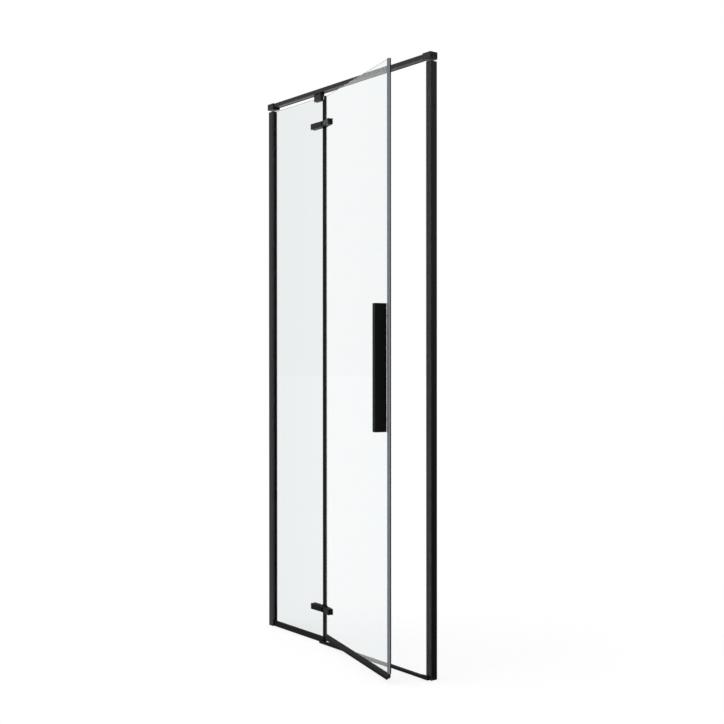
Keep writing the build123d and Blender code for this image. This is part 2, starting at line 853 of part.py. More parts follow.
def save_frame():
    """Write the pieces that stay on the walls and the floor."""
    for side, word in ((-1, "left"), (1, "right")):
        save(f"{word}_wall_channel", wall_channel(side))
        save(f"{word}_post_cap", post_cap(side))
        save(f"{word}_rail_block", end_block(side))
    save("left_post", left_post())
    save("right_post", right_post())
    save("post_side_screws", side_screws())
    save("left_post_gasket", left_post_gasket())
    save("fixed_glass", fixed_glass())
    save("fixed_bottom_channel", bottom_channel())
    save("fixed_bottom_gasket", bottom_gasket())
    save("fixed_edge_seal", fixed_edge_seal())
    save("top_rail", top_rail())
    save("rail_block_set_screws", block_screws())
    save("rail_clamp", clamp_body())
    save("rail_clamp_liner", clamp_liner_piece())
    save("rail_clamp_bolt", clamp_bolt())
    save("rail_clamp_nut", clamp_nut())
    save("strike_strip", strike_holder())
    save("strike_magnet", strike_magnet())
    save("threshold", threshold())
    save("threshold_end_cap", threshold_cap())


def save_hinges():
    """Write the pieces of both pivot hinges."""
    for word, height in hinge_heights().items():
        save(f"{word}_hinge_frame_plate_front", frame_leaf_front(height))
        save(f"{word}_hinge_frame_plate_back", leaf_plate(-1, frame_leaf_length, 1, height))
        save(f"{word}_hinge_frame_pads", Compound(hinge_pads(-1, frame_leaf_length, height)))
        save(f"{word}_hinge_frame_screws", Compound(leaf_screws(-1, height)))
        save(f"{word}_hinge_pin", hinge_pin(height))
        save(f"{word}_hinge_washers", hinge_washers(height))
        save(f"{word}_hinge_bush", hinge_bush(height))
        save(f"{word}_hinge_door_plate_front", door_leaf_front(height))
        save(f"{word}_hinge_door_plate_back", on_door(leaf_plate(1, door_leaf_length, 1, height)))
        pads = [on_door(pad) for pad in hinge_pads(1, door_leaf_length, height)]
        save(f"{word}_hinge_door_pads", Compound(pads))
        screws = [on_door(screw) for screw in leaf_screws(1, height)]
        save(f"{word}_hinge_door_screws", Compound(screws))


def save_door():
    """Write the pieces that swing on the hinges."""
    save("door_glass", door_glass())
    save("door_hinge_seal", door_hinge_seal())
    save("door_edge_seal", edge_seal())
    save("door_edge_magnet", edge_magnet())
    save("door_bottom_profile", door_profile())
    save("door_drip_seal", drip_seal())
    save("handle", handle())
    save("handle_pad", handle_pad())
    save("handle_ferrules", handle_ferrules())
    save("handle_screws", handle_screws())


os.makedirs("parts", exist_ok=True)
save_frame()
save_hinges()
save_door()
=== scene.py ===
"""Alcove shower door with a glass door on two pivot hinges: its finishes, screws, seals and studio."""
import math

import bmesh
import bpy
from mathutils import Matrix, Vector


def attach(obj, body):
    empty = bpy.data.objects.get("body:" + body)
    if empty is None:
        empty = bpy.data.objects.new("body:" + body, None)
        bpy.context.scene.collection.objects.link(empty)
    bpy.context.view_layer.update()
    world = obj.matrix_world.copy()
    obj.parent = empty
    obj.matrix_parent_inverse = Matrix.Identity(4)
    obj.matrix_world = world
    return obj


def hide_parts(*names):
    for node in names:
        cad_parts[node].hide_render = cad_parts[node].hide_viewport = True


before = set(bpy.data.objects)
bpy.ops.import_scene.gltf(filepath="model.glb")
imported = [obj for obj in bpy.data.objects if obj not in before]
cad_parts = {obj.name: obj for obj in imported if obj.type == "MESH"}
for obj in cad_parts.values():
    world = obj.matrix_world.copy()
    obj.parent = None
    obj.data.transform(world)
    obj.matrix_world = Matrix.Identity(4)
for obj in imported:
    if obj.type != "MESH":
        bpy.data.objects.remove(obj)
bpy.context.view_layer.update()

bl_info = {
    "name": "Pivot shower door",
    "version": (1, 0, 0),
    "blender": (4, 5, 0),
    "location": "3D View > Sidebar > Shower Door",
    "description": "Finishes, screws, seals and studio for a framed alcove shower door",
    "category": "Object",
}

# The camera, fitted to the edges of the posts, the rail, the door and the threshold.
CAMERA_PLACE = (2.893750, -2.252661, 0.997281)
CAMERA_RIGHT = (0.62663118, 0.77931579, -0.00050243)
CAMERA_UP = (-0.00181037, 0.00210038, 0.99999616)
CAMERA_BACK = (0.77931385, -0.62662787, 0.00272701)
FRAME_PIXELS = 724
FOCAL_PIXELS = 1068.7435
SENSOR_MM = 36.0

# Sizes of the CAD model that new pieces are built to, in millimetres.
MM = 0.001
HINGE_X = -110.0
DOOR_ANGLE = 15.3
HALF_GLASS = 3.0
HALF_HINGE_DEPTH = 11.7
HINGE_HEIGHTS = {"top": 1822.5, "bottom": 118.5}
HINGE_NOTCH_HALF = 10.6
FRAME_SCREW_DISTANCES = (30.0, 60.0)
DOOR_SCREW_DISTANCES = (23.0, 39.0)
GLASS_TOP = 1920.0
DOOR_GLASS_TOP = 1917.0
CLAMP_BOTTOM = 1908.0
CHANNEL_TOP = 19.4
DOOR_PROFILE_TOP = 34.0
DOOR_GLASS_END = 526.4
DOOR_END = 531.0
GAP = 0.3
OVERRUN = 1.0

# The studio's soft boxes: how many stand around, and the direction to one of them in degrees.
SOFT_BOXES = 9.0
SOFT_BOX_AZIMUTH = -132.0

# The door's own frame: X along the door from the hinge line, Y towards the shower, Z up.
DOOR = Matrix.Translation((HINGE_X * MM, 0, 0)) @ Matrix.Rotation(-math.radians(DOOR_ANGLE), 4, "Z")
# Turns a section drawn in X and Y, with its length along Z, so that it runs along X: X to Y, Y to Z.
LENGTHWISE = Matrix(((0, 0, 1, 0), (1, 0, 0, 0), (0, 1, 0, 0), (0, 0, 0, 1)))
HERE = Matrix.Identity(4)

# Which finish each CAD node that stays visible takes.
FINISHES = {
    "powder_coated_aluminium": (
        "left_post right_post left_post_cap right_post_cap left_rail_block right_rail_block top_rail "
        "rail_clamp handle left_wall_channel right_wall_channel"),
    # Painted shade: the profiles at the floor take a darker, duller copy of the powder coat.
    "shaded_powder_coat": "fixed_bottom_channel threshold threshold_end_cap door_bottom_profile",
    "coated_hinge_metal": (
        "top_hinge_frame_plate_front top_hinge_frame_plate_back top_hinge_door_plate_front "
        "top_hinge_door_plate_back"),
    # Painted shade: the lower hinge's plates take a darker, duller copy of the hinge coat.
    "shaded_hinge_coat": (
        "bottom_hinge_frame_plate_front bottom_hinge_frame_plate_back bottom_hinge_door_plate_front "
        "bottom_hinge_door_plate_back"),
    "toughened_glass_fixed": "fixed_glass",
    "toughened_glass_door": "door_glass",
    "black_rubber": (
        "left_post_gasket fixed_bottom_gasket door_hinge_seal door_drip_seal rail_clamp_liner handle_pad "
        "top_hinge_frame_pads top_hinge_door_pads bottom_hinge_frame_pads bottom_hinge_door_pads"),
    "black_pvc": "fixed_edge_seal strike_strip",
    "smoky_pvc": "door_edge_seal",
    "magnetic_rubber": "strike_magnet door_edge_magnet",
    "stainless_steel": (
        "post_side_screws rail_block_set_screws rail_clamp_bolt rail_clamp_nut handle_screws "
        "top_hinge_pin bottom_hinge_pin top_hinge_frame_screws top_hinge_door_screws "
        "bottom_hinge_frame_screws bottom_hinge_door_screws"),
    "acetal": "top_hinge_bush bottom_hinge_bush top_hinge_washers bottom_hinge_washers handle_ferrules",
}

MATERIALS = {}


def linear(hex_colour):
    """An sRGB hex colour as the linear colour that Blender's sockets take."""
    parts = [int(hex_colour[i:i + 2], 16) / 255 for i in (1, 3, 5)]
    return tuple(c / 12.92 if c <= 0.04045 else ((c + 0.055) / 1.055) ** 2.4 for c in parts) + (1.0,)


def add_node(tree, kind, inputs=None, **settings):
    """Adds a node, sets its properties, and fills its inputs: a socket is linked, anything else is set."""
    node = tree.nodes.new(kind)
    for name, value in settings.items():
        setattr(node, name, value)
    for name, value in (inputs or {}).items():
        if isinstance(value, bpy.types.NodeSocket):
            tree.links.new(value, node.inputs[name])
        else:
            node.inputs[name].default_value = value
    return node


def new_material(name):
    """An empty node material and its tree."""
    material = bpy.data.materials.new(name)
    material.use_nodes = True
    material.node_tree.nodes.clear()
    MATERIALS[name] = material
    return material.node_tree


def shaded(colour, factor):
    """A colour made lighter or darker by a factor."""
    return tuple(min(part * factor, 1.0) for part in colour[:3]) + (1.0,)


def patterned_finish(name, colour, spread, roughness, grain_mm, bump_mm, cloud_mm, stretch=1.0, sockets=None):
    """A finish that follows two noises on the object's own coordinates, drawn out along Z by the stretch.

    Its tone varies by the spread over clouds of one size, and its roughness and bump follow a finer grain."""
    tree = new_material(name)
    place = add_node(tree, "ShaderNodeTexCoord").outputs["Object"]
    drawn = add_node(tree, "ShaderNodeMapping", {"Vector": place, "Scale": (1, 1, 1 / stretch)}).outputs["Vector"]
    cloud = add_node(tree, "ShaderNodeTexNoise", {
        "Vector": drawn, "Scale": 1 / (cloud_mm * MM), "Detail": 4.0}).outputs["Fac"]
    grain = add_node(tree, "ShaderNodeTexNoise", {
        "Vector": drawn, "Scale": 1 / (grain_mm * MM), "Detail": 2.0}).outputs["Fac"]
    tone = add_node(tree, "ShaderNodeMix", {
        "Factor": cloud, "A": shaded(colour, 1 - spread), "B": shaded(colour, 1 + spread)}, data_type="RGBA")
    gloss = add_node(tree, "ShaderNodeMapRange", {
        "Value": grain, "From Min": 0.3, "From Max": 0.7, "To Min": roughness[0], "To Max": roughness[1]})
    relief = add_node(tree, "ShaderNodeBump", {"Height": grain, "Strength": 0.5, "Distance": bump_mm * MM})
    shader = add_node(tree, "ShaderNodeBsdfPrincipled", {
        "Base Color": tone.outputs["Result"], "Roughness": gloss.outputs["Result"],
        "Normal": relief.outputs["Normal"], **(sockets or {})})
    add_node(tree, "ShaderNodeOutputMaterial", {"Surface": shader.outputs["BSDF"]})


def float_glass(name, tint, pane_normal):
    """Clear float glass: polished faces, and ground edges that are greener and less clear."""
    tree = new_material(name)
    facing = add_node(tree, "ShaderNodeTexCoord").outputs["Normal"]
    along = add_node(tree, "ShaderNodeVectorMath", {0: facing, 1: pane_normal}, operation="DOT_PRODUCT")
    along = add_node(tree, "ShaderNodeMath", {0: along.outputs["Value"]}, operation="ABSOLUTE")
    face = add_node(tree, "ShaderNodeMath", {0: along.outputs[0], 1: 0.9}, operation="GREATER_THAN").outputs[0]
    tone = add_node(tree, "ShaderNodeMix", {"Factor": face, "A": shaded(linear("#b9cdc8"), 1), "B": shaded(tint, 1)},
                    data_type="RGBA")
    gloss = add_node(tree, "ShaderNodeMapRange", {"Value": face, "To Min": 0.25, "To Max": 0.0})
    shader = add_node(tree, "ShaderNodeBsdfPrincipled", {
        "Base Color": tone.outputs["Result"], "Roughness": gloss.outputs["Result"], "IOR": 1.5,
        "Transmission Weight": 1.0})
    clear = add_node(tree, "ShaderNodeBsdfTransparent", {"Color": shaded(tint, 1)})
    path = add_node(tree, "ShaderNodeLightPath").outputs
    mix = add_node(tree, "ShaderNodeMixShader", {
        "Fac": path["Is Shadow Ray"], 1: shader.outputs["BSDF"], 2: clear.outputs["BSDF"]})
    add_node(tree, "ShaderNodeOutputMaterial", {"Surface": mix.outputs["Shader"]})


def make_materials(colours):
    """All finishes, by what each one is made of. Grains under 1 mm are drawn at 1 to 2 mm, so they show."""
    # Polyester powder, sprayed and baked on extruded aluminium: matt black, faintly cloudy over some
    # centimetres, with the fine orange peel of powder, 0.5 mm in truth, that breaks up its highlights.
    patterned_finish("powder_coated_aluminium", colours.coat, 0.12, (0.34, 0.46), 1.2, 0.05, 70,
                     sockets={"Specular IOR Level": 0.42})
    # The same powder with painted shade, on the handle and on the profiles at the floor: its colour is
    # made deeper black and its gloss duller, so that these parts look shaded.
    patterned_finish("shaded_powder_coat", shaded(colours.coat, 0.6), 0.12, (0.5, 0.62), 1.2, 0.05, 70,
                     sockets={"Specular IOR Level": 0.12})
    # Electro-coat on die-cast hinge metal: satin black, over the faint rippled skin of the casting.
    patterned_finish("coated_hinge_metal", colours.hinge_coat, 0.12, (0.3, 0.4), 2.5, 0.1, 25,
                     sockets={"Specular IOR Level": 0.25})
    # The same coat with painted shade on the lower hinge: deeper black and duller, standing in for the shade near the
    # floor.
    patterned_finish("shaded_hinge_coat", shaded(colours.hinge_coat, 0.6), 0.12, (0.45, 0.55), 2.5, 0.1, 25,
                     sockets={"Specular IOR Level": 0.08})
    # Toughened float glass: clear with a faint grey-green tint, and darker green at its ground edges.
    angle = math.radians(DOOR_ANGLE)
    float_glass("toughened_glass_fixed", colours.glass, (0.0, 1.0, 0.0))
    float_glass("toughened_glass_door", colours.glass, (math.sin(angle), math.cos(angle), 0.0))
    # Extruded and cured EPDM: dull and almost black, with a soft mottle of bloom.
    patterned_finish("black_rubber", linear("#101010"), 0.2, (0.6, 0.75), 1.5, 0.1, 8,
                     sockets={"Specular IOR Level": 0.2})
    # Extruded soft PVC: satin black, with faint lines that the die draws along its length.
    patterned_finish("black_pvc", linear("#121213"), 0.15, (0.42, 0.55), 1.0, 0.08, 6, 60.0,
                     sockets={"Specular IOR Level": 0.2})
    # Extruded PVC with die lines: blue-grey legs that let a little light through, and painted light on the
    # nose's outer face, which takes a copy about three times lighter.
    patterned_finish("smoky_pvc", colours.edge_strip, 0.06, (0.3, 0.4), 1.0, 0.06, 6, 60.0,
                     sockets={"Transmission Weight": 0.2, "IOR": 1.45})
    patterned_finish("milky_pvc", shaded(colours.edge_strip, 3.2), 0.06, (0.3, 0.4), 1.0, 0.06, 6, 60.0,
                     sockets={"Transmission Weight": 0.1, "IOR": 1.45})
    # Ferrite powder bonded in extruded rubber: brown-black and grainy, without gloss.
    patterned_finish("magnetic_rubber", linear("#0c0b0b"), 0.3, (0.55, 0.7), 1.2, 0.12, 3,
                     sockets={"Specular IOR Level": 0.1})
    # Stainless steel, turned and tumbled: bright, with a fine uneven sheen.
    patterned_finish("stainless_steel", linear("#b0aeaa"), 0.06, (0.2, 0.36), 0.8, 0.03, 3,
                     sockets={"Metallic": 1.0})
    # Moulded acetal: milky white and slightly waxy, with faint flow marks.
    patterned_finish("acetal", linear("#dcdbd6"), 0.03, (0.32, 0.42), 2.0, 0.03, 8,
                     sockets={"Subsurface Weight": 0.1, "Subsurface Scale": 0.001})


def start(kind, scale=(1, 1, 1), **settings):
    """Adds one primitive with nothing else selected, applies its scale and opens edit mode on it."""
    if bpy.context.mode != "OBJECT":
        bpy.ops.object.mode_set(mode="OBJECT")
    bpy.ops.object.select_all(action="DESELECT")
    getattr(bpy.ops.mesh, f"primitive_{kind}_add")(**settings)
    bpy.context.object.scale = scale
    bpy.ops.object.transform_apply(location=True, rotation=True, scale=True)
    bpy.ops.object.mode_set(mode="EDIT")
    return bpy.context.object


def start_section(x0, x1, y0, y1, z=0.0):
    """A flat rectangle between two X and two Y lines, in millimetres, as the first part of a section."""
    return start("plane", size=1, location=((x0 + x1) / 2 * MM, (y0 + y1) / 2 * MM, z * MM),
                 scale=(abs(x1 - x0) * MM, abs(y1 - y0) * MM, 1))


def pick(kind, test):
    """Selects only the verts, edges or faces whose middle, in millimetres, passes the test."""
    bpy.ops.mesh.select_all(action="DESELECT")
    bpy.ops.mesh.select_mode(type={"verts": "VERT", "edges": "EDGE", "faces": "FACE"}[kind])
    mesh = bmesh.from_edit_mesh(bpy.context.edit_object.data)
    count = 0
    for item in getattr(mesh, kind):
        corners = [item] if kind == "verts" else item.verts
        middle = sum((v.co for v in corners), Vector()) / len(corners) / MM
        if test(middle):
            item.select_set(True)
            count += 1
    mesh.select_flush_mode()
    bmesh.update_edit_mesh(bpy.context.edit_object.data)
    if not count:
        raise ValueError(f"{bpy.context.edit_object.name}: no {kind} picked")


def near(x=None, y=None, z=None, slack=0.02):
    """A test for a middle that lies on the given coordinates."""
    wanted = [(i, value) for i, value in enumerate((x, y, z)) if value is not None]
    return lambda middle: all(abs(middle[i] - value) < slack for i, value in wanted)


def pull(dx=0.0, dy=0.0, dz=0.0):
    """Extrudes what is selected and moves it, in millimetres."""
    bpy.ops.mesh.extrude_region_move(TRANSFORM_OT_translate={"value": (dx * MM, dy * MM, dz * MM)})


def grow_section(x, y, dx, dy, taper=1.0):
    """Pulls out the section's edge whose middle is at x, y; taper narrows its far end."""
    pick("edges", near(x, y))
    pull(dx, dy)
    if taper != 1.0:
        bpy.ops.transform.resize(value=(taper, taper, 1),
                                 center_override=((x + dx) * MM, (y + dy) * MM, 0))


def draw_out(length):
    """Draws the whole section out along Z by a length in millimetres and closes the edit."""
    bpy.ops.mesh.select_all(action="SELECT")
    bpy.ops.mesh.remove_doubles(threshold=0.00001)
    pull(dz=length)
    bpy.ops.mesh.select_all(action="SELECT")
    bpy.ops.mesh.remove_doubles(threshold=0.00001)
    bpy.ops.mesh.dissolve_limited(angle_limit=math.radians(0.5))
    bpy.ops.mesh.normals_make_consistent(inside=False)
    bpy.ops.object.mode_set(mode="OBJECT")


def round_edges(width_mm, segments=2, angle=30.0):
    """Rounds the sharp edges of the active object with an applied Bevel modifier."""
    if bpy.context.mode != "OBJECT":
        bpy.ops.object.mode_set(mode="OBJECT")
    thing = bpy.context.object
    bevel = thing.modifiers.new("rounding", "BEVEL")
    bevel.width = width_mm * MM
    bevel.segments = segments
    bevel.limit_method = "ANGLE"
    bevel.angle_limit = math.radians(angle)
    bpy.ops.object.modifier_apply(modifier=bevel.name)


def cut(thing, cutter):
    """Takes the cutter's shape out of the thing and deletes the cutter."""
    if bpy.context.mode != "OBJECT":
        bpy.ops.object.mode_set(mode="OBJECT")
    bpy.ops.object.select_all(action="DESELECT")
    thing.select_set(True)
    bpy.context.view_layer.objects.active = thing
    boolean = thing.modifiers.new("cut", "BOOLEAN")
    boolean.object = cutter
    boolean.operation = "DIFFERENCE"
    boolean.solver = "EXACT"
    bpy.ops.object.modifier_apply(modifier=boolean.name)
    bpy.data.objects.remove(cutter)


def copy_at(pattern_object, places):
    """Copies of one modelled object at the given matrices, joined into one object; the first is used up."""
    bpy.ops.object.select_all(action="DESELECT")
    copies = []
    for place in places:
        copy = pattern_object.copy()
        copy.data = pattern_object.data.copy()
        bpy.context.collection.objects.link(copy)
        copy.matrix_world = place
        copies.append(copy)
    bpy.data.objects.remove(pattern_object)
    for copy in copies:
        copy.select_set(True)
    bpy.context.view_layer.objects.active = copies[0]
    bpy.ops.object.transform_apply(location=True, rotation=True, scale=True)
    if len(copies) > 1:
        bpy.ops.object.join()
    return bpy.context.object


def hand_over(thing, name, body, slot, material, *nodes):
    """Names a finished piece, gives it its finish and puts it on its body in place of its CAD nodes."""
    bpy.ops.object.select_all(action="DESELECT")
    thing.select_set(True)
    bpy.context.view_layer.objects.active = thing
    bpy.ops.object.shade_smooth_by_angle(angle=math.radians(35))
    thing.name = name
    thing.data.name = name
    thing.data.materials.clear()
    thing.data.materials.append(MATERIALS[material])
    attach(thing, body)
    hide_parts(*nodes)


def along_y(x, y, z, towards_room=True):
    """A place for a screw that was modelled with its head at the top of Z: its head faces plus Y here."""
    return Matrix.Translation((x * MM, y * MM, z * MM)) @ Matrix.Rotation(math.radians(-90), 4, "X")


def screw_blank(head_radius, head_height, shank_radius, length, flat):
    """A screw along Z with the top of its head at zero: flat heads taper down into the shank."""
    start("cylinder", vertices=40, radius=head_radius * MM, depth=head_height * MM,
          location=(0, 0, -head_height / 2 * MM))
    pick("faces", near(0, 0, -head_height))
    if flat:
        bpy.ops.transform.resize(value=(shank_radius / head_radius,) * 2 + (1,),
                                 center_override=(0, 0, -head_height * MM))
    else:
        bpy.ops.mesh.inset(thickness=(head_radius - shank_radius) * MM)
    pull(dz=head_height - length + 0.5)
    pull(dz=-0.5)
    bpy.ops.transform.resize(value=(0.8, 0.8, 1), center_override=(0, 0, -length * MM))
    bpy.ops.object.mode_set(mode="OBJECT")
    return bpy.context.object


def hex_socket(screw, across_flats, depth):
    """Sinks a hexagon socket with a conical floor into the top of a screw."""
    start("cylinder", vertices=6, radius=across_flats / math.sqrt(3) * MM, depth=(depth + OVERRUN) * MM,
          location=(0, 0, (OVERRUN - depth) / 2 * MM))
    pick("faces", near(0, 0, -depth))
    pull(dz=-0.4)
    bpy.ops.transform.resize(value=(0.1, 0.1, 1), center_override=(0, 0, -(depth + 0.4) * MM))
    cut(screw, bpy.context.object)


def cross_socket(screw, reach, width, depth):
    """Sinks a cross recess whose four wings narrow downwards into the top of a screw."""
    for turn in (0, 90):
        start("cube", size=1, location=(0, 0, (OVERRUN - depth) / 2 * MM),
              scale=(2 * reach * MM, width * MM, (depth + OVERRUN) * MM))
        pick("faces", near(z=-depth))
        bpy.ops.transform.resize(value=(0.35, 0.6, 1), center_override=(0, 0, -depth * MM))
        bpy.ops.object.mode_set(mode="OBJECT")
        cutter = bpy.context.object
        cutter.rotation_euler.z = math.radians(turn)
        bpy.ops.object.transform_apply(location=True, rotation=True, scale=True)
        cut(screw, cutter)


class SHOWERDOOR_OT_hinge_screws(bpy.types.Operator):
    """Models the flat-headed screws of both hinges, driven from the shower side"""
    bl_idname = "showerdoor.hinge_screws"
    bl_label = "Hinge screws"

    def execute(self, context):
        sizes = context.scene.shower_door_sizes
        for end, height in HINGE_HEIGHTS.items():
            for leaf, distances, frame_of, sign in (("frame", FRAME_SCREW_DISTANCES, HERE, -1),
                                                    ("door", DOOR_SCREW_DISTANCES, DOOR, 1)):
                screw = screw_blank(4.6, 2.4, 2.5, 20.4, True)
                hex_socket(screw, sizes.hinge_screw_socket / MM, 1.8)
                round_edges(0.12)
                base = HINGE_X if leaf == "frame" else 0.0
                places = [frame_of @ along_y(base + sign * distance, HALF_HINGE_DEPTH, height)
                          for distance in distances]
                screws = copy_at(screw, places)
                body = "frame" if leaf == "frame" else "door"
                hand_over(screws, f"{end}_hinge_{leaf}_socket_screws", body, "stainless_steel",
                          "stainless_steel", f"{end}_hinge_{leaf}_screws")
        return {"FINISHED"}


class SHOWERDOOR_OT_post_screws(bpy.types.Operator):
    """Models the six pan-head screws that fix the posts to their wall channels"""
    bl_idname = "showerdoor.post_screws"
    bl_label = "Post screws"

    def execute(self, context):
        screw = screw_blank(3.3, 1.6, 1.5, 6.6, False)
        bpy.ops.object.mode_set(mode="EDIT")
        pick("edges", lambda m: abs(m.z) < 0.01)
        bpy.ops.mesh.bevel(offset=0.9 * MM, segments=4, affect="EDGES", profile=0.5)
        bpy.ops.object.mode_set(mode="OBJECT")
        cross_socket(screw, 1.9, 0.75, 1.1)
        places = [along_y(side * 437.0, 13.6, height) for side in (-1, 1) for height in (140.0, 960.0, 1780.0)]
        hand_over(copy_at(screw, places), "post_cross_screws", "frame", "stainless_steel", "stainless_steel",
                  "post_side_screws")
        return {"FINISHED"}


class SHOWERDOOR_OT_handle_screws(bpy.types.Operator):
    """Models the two low-headed screws that hold the handle"""
    bl_idname = "showerdoor.handle_screws"
    bl_label = "Handle screws"

    def execute(self, context):
        screw = screw_blank(4.5, 2.0, 2.5, 12.1, False)
        bpy.ops.object.mode_set(mode="EDIT")
        pick("edges", lambda m: abs(m.z) < 0.01)
        bpy.ops.mesh.bevel(offset=1.0 * MM, segments=4, affect="EDGES", profile=0.5)
        bpy.ops.object.mode_set(mode="OBJECT")
        hex_socket(screw, 2.5, 1.2)
        places = [DOOR @ along_y(502.5, 5.6, height) for height in (811.0, 1131.0)]
        hand_over(copy_at(screw, places), "handle_socket_screws", "door", "stainless_steel", "stainless_steel",
                  "handle_screws")
        return {"FINISHED"}


class SHOWERDOOR_OT_set_screws(bpy.types.Operator):
    """Models the two set screws under the rail blocks"""
    bl_idname = "showerdoor.set_screws"
    bl_label = "Set screws"

    def execute(self, context):
        start("cylinder", vertices=32, radius=2.0 * MM, depth=5.5 * MM, location=(0, 0, -2.75 * MM))
        pick("faces", near(0, 0, -5.5))
        pull(dz=0.0)
        bpy.ops.transform.resize(value=(0.7, 0.7, 1), center_override=(0, 0, -5.5 * MM))
        bpy.ops.object.mode_set(mode="OBJECT")
        screw = context.object
        hex_socket(screw, 2.0, 2.2)
        round_edges(0.15)
        upside_down = Matrix.Rotation(math.radians(180), 4, "X")
        places = [Matrix.Translation((side * 424.5 * MM, -1.5 * MM, 1928.5 * MM)) @ upside_down
                  for side in (-1, 1)]
        hand_over(copy_at(screw, places), "rail_block_socket_screws", "frame", "stainless_steel",
                  "stainless_steel", "rail_block_set_screws")
        return {"FINISHED"}


def lengths_between_hinges(low, high):
    """The bottom and the length of each of a strip's three parts, which stop short of the hinges."""
    stops = [low]
    for height in sorted(HINGE_HEIGHTS.values()):
        stops += [height - HINGE_NOTCH_HALF, height + HINGE_NOTCH_HALF]
    stops.append(high)
    return [(stops[i], stops[i + 1] - stops[i]) for i in (0, 2, 4)]


class SHOWERDOOR_OT_fixed_edge_strip(bpy.types.Operator):
    """Models the black channel strip on the fixed glass's free edge, in three lengths"""
    bl_idname = "showerdoor.fixed_edge_strip"
    bl_label = "Fixed edge strip"

    def execute(self, context):
        parts = []
        for bottom, length in lengths_between_hinges(CHANNEL_TOP, CLAMP_BOTTOM):
            start_section(-116.4, -114.9, -4.6, 4.6, bottom)
            parts.append(self.add_legs(length))
        join(parts)
        hand_over(context.object, "fixed_edge_channel_strip", "frame", "black_pvc", "black_pvc",
                  "fixed_edge_seal")
        return {"FINISHED"}

    def add_legs(self, length):
        """The two legs, whose tips narrow onto the glass."""
        split_edge(-116.4, -4.6, 4.6, (-HALF_GLASS, HALF_GLASS))
        for sign in (-1, 1):
            middle = sign * 3.8
            grow_section(-116.4, middle, -5.4, 0)
            grow_section(-121.8, middle, -1.8, -sign * 0.35, 0.55)
        draw_out(length)
        round_edges(0.35, 2, 50)
        return bpy.context.object


def split_edge(x, y0, y1, cuts):
    """Cuts the flat section across at the given Y values with bisect, so that its edge at x has parts."""
    for y in cuts:
        bpy.ops.mesh.select_all(action="SELECT")
        bpy.ops.mesh.bisect(plane_co=(x * MM, y * MM, 0), plane_no=(0, 1, 0))


def join(parts):
    """Joins modelled parts into one object, which becomes the active one."""
    bpy.ops.object.select_all(action="DESELECT")
    for part in parts:
        part.select_set(True)
    bpy.context.view_layer.objects.active = parts[0]
    if len(parts) > 1:
        bpy.ops.object.join()
    return bpy.context.object


def move_to(thing, place):
    """Puts a modelled object in its place and applies it to the mesh."""
    bpy.ops.object.select_all(action="DESELECT")
    thing.select_set(True)
    bpy.context.view_layer.objects.active = thing
    thing.matrix_world = place
    bpy.ops.object.transform_apply(location=True, rotation=True, scale=True)
    return thing


class SHOWERDOOR_OT_door_hinge_strip(bpy.types.Operator):
    """Models the strip with a hollow round nose on the door's hinge edge, in three lengths"""
    bl_idname = "showerdoor.door_hinge_strip"
    bl_label = "Door hinge strip"

    def execute(self, context):
        parts = []
        for bottom, length in lengths_between_hinges(DOOR_PROFILE_TOP, GLASS_TOP - GAP):
            start_section(0.0, 2.0, -4.6, 4.6, bottom)
            split_edge(0.0, -4.6, 4.6, (-HALF_GLASS, HALF_GLASS))
            for sign in (-1, 1):
                grow_section(2.0, sign * 3.8, 6.2, 0)
                grow_section(8.2, sign * 3.8, 1.8, -sign * 0.35, 0.55)
            draw_out(length)
            strip = context.object
            start("cylinder", vertices=48, radius=4.6 * MM, depth=length * MM,
                  location=(0, 0, (bottom + length / 2) * MM))
            bpy.ops.object.mode_set(mode="OBJECT")
            nose = context.object
            union(strip, nose)
            start("cylinder", vertices=32, radius=2.9 * MM, depth=(length + 2 * OVERRUN) * MM,
                  location=(-0.4 * MM, 0, (bottom + length / 2) * MM))
            bpy.ops.mesh.select_all(action="SELECT")
            bpy.ops.transform.resize(value=(0.75, 1, 1), center_override=(-0.4 * MM, 0, 0))
            cut(strip, context.object)
            round_edges(0.25, 2, 50)
            parts.append(context.object)
        strip = move_to(join(parts), DOOR)
        hand_over(strip, "door_hinge_nose_strip", "door", "black_rubber", "black_rubber", "door_hinge_seal")
        return {"FINISHED"}


def union(thing, other):
    """Merges another object into the thing."""
    bpy.ops.object.select_all(action="DESELECT")
    thing.select_set(True)
    bpy.context.view_layer.objects.active = thing
    boolean = thing.modifiers.new("merge", "BOOLEAN")
    boolean.object = other
    boolean.operation = "UNION"
    boolean.solver = "EXACT"
    bpy.ops.object.modifier_apply(modifier=boolean.name)
    bpy.data.objects.remove(other)


